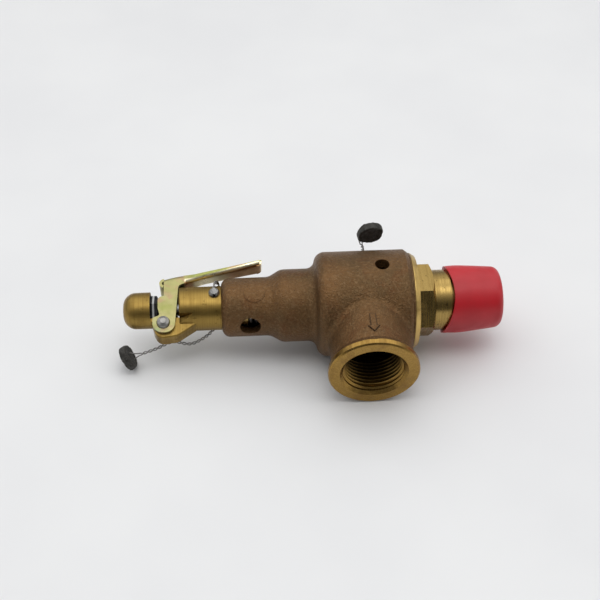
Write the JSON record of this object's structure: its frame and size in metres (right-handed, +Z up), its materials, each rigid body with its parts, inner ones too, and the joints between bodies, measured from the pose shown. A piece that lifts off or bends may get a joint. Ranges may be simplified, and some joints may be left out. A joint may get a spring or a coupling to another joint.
{
  "type": "pressure relief valve",
  "caption": "Angle-pattern pressure relief valve with lift lever, threaded side outlet, capped inlet thread and wired lead seals.",
  "frame": {"origin": "centre of the inlet nozzle's end face, on the valve's axis", "axes": "+X along the valve's axis, out of the inlet, so the valve lies at negative X; -Y out of the outlet; +Z up with the valve lying on its side"},
  "size_m": [0.1688, 0.072, 0.046],
  "materials": {
    "cast_bronze": "sand cast, satin",
    "nozzle_brass": "machined",
    "cap_brass": "turned, fine tool lines",
    "red_plastic": "satin",
    "zinc_yellow_steel": "yellow chromate, iridescent",
    "plain_steel": "satin",
    "stainless": "turned",
    "spring_steel": "satin",
    "inner_brass": "turned",
    "seal_wire": "dull, twisted from two strands",
    "lead": "dull, crimped"
  },
  "bodies": {
    "valve": {"valve_body": "cast_bronze", "nozzle": "nozzle_brass", "blowdown_ring": "inner_brass", "ring_screw": "plain_steel", "upper_spring_step": "inner_brass", "compression_screw": "inner_brass", "compression_lock_nut": "inner_brass", "cap": "cap_brass", "cap_screw": "plain_steel", "lever_rivet": "plain_steel", "seal_wire_cap": "seal_wire", "seal_wire_ring": "seal_wire", "lead_seal_cap": "lead", "lead_seal_ring": "lead"},
    "spindle_group": {"spindle": "stainless", "lift_nut": "plain_steel", "lift_lock_nut": "plain_steel", "disc": "stainless", "disc_holder": "stainless", "disc_pin": "plain_steel", "lower_spring_step": "inner_brass", "spring": "spring_steel"},
    "lift_lever": {"lever": "zinc_yellow_steel"},
    "inlet_cap": {"thread_protector": "red_plastic"}
  },
  "joints": [
    {"name": "lever_lift", "type": "hinge", "parent": "valve", "child": "lift_lever", "pos_m": [-0.1452, -0.00854, -0.00213], "axis": [0, -0.2419, 0.9703], "range_deg": [0, 13]},
    {"name": "spindle_lift", "type": "slide", "parent": "valve", "child": "spindle_group", "axis": [-1, 0, 0], "range_m": [0, 0.00234], "deforming": ["spring"]},
    {"name": "thread_protector_pull", "type": "slide", "parent": "valve", "child": "inlet_cap", "axis": [1, 0, 0], "range_m": [0, 0.026]}
  ],
  "couplings": [
    {"joint": "spindle_lift", "follows": "lever_lift", "m_per_rad": 0.0103}
  ]
}
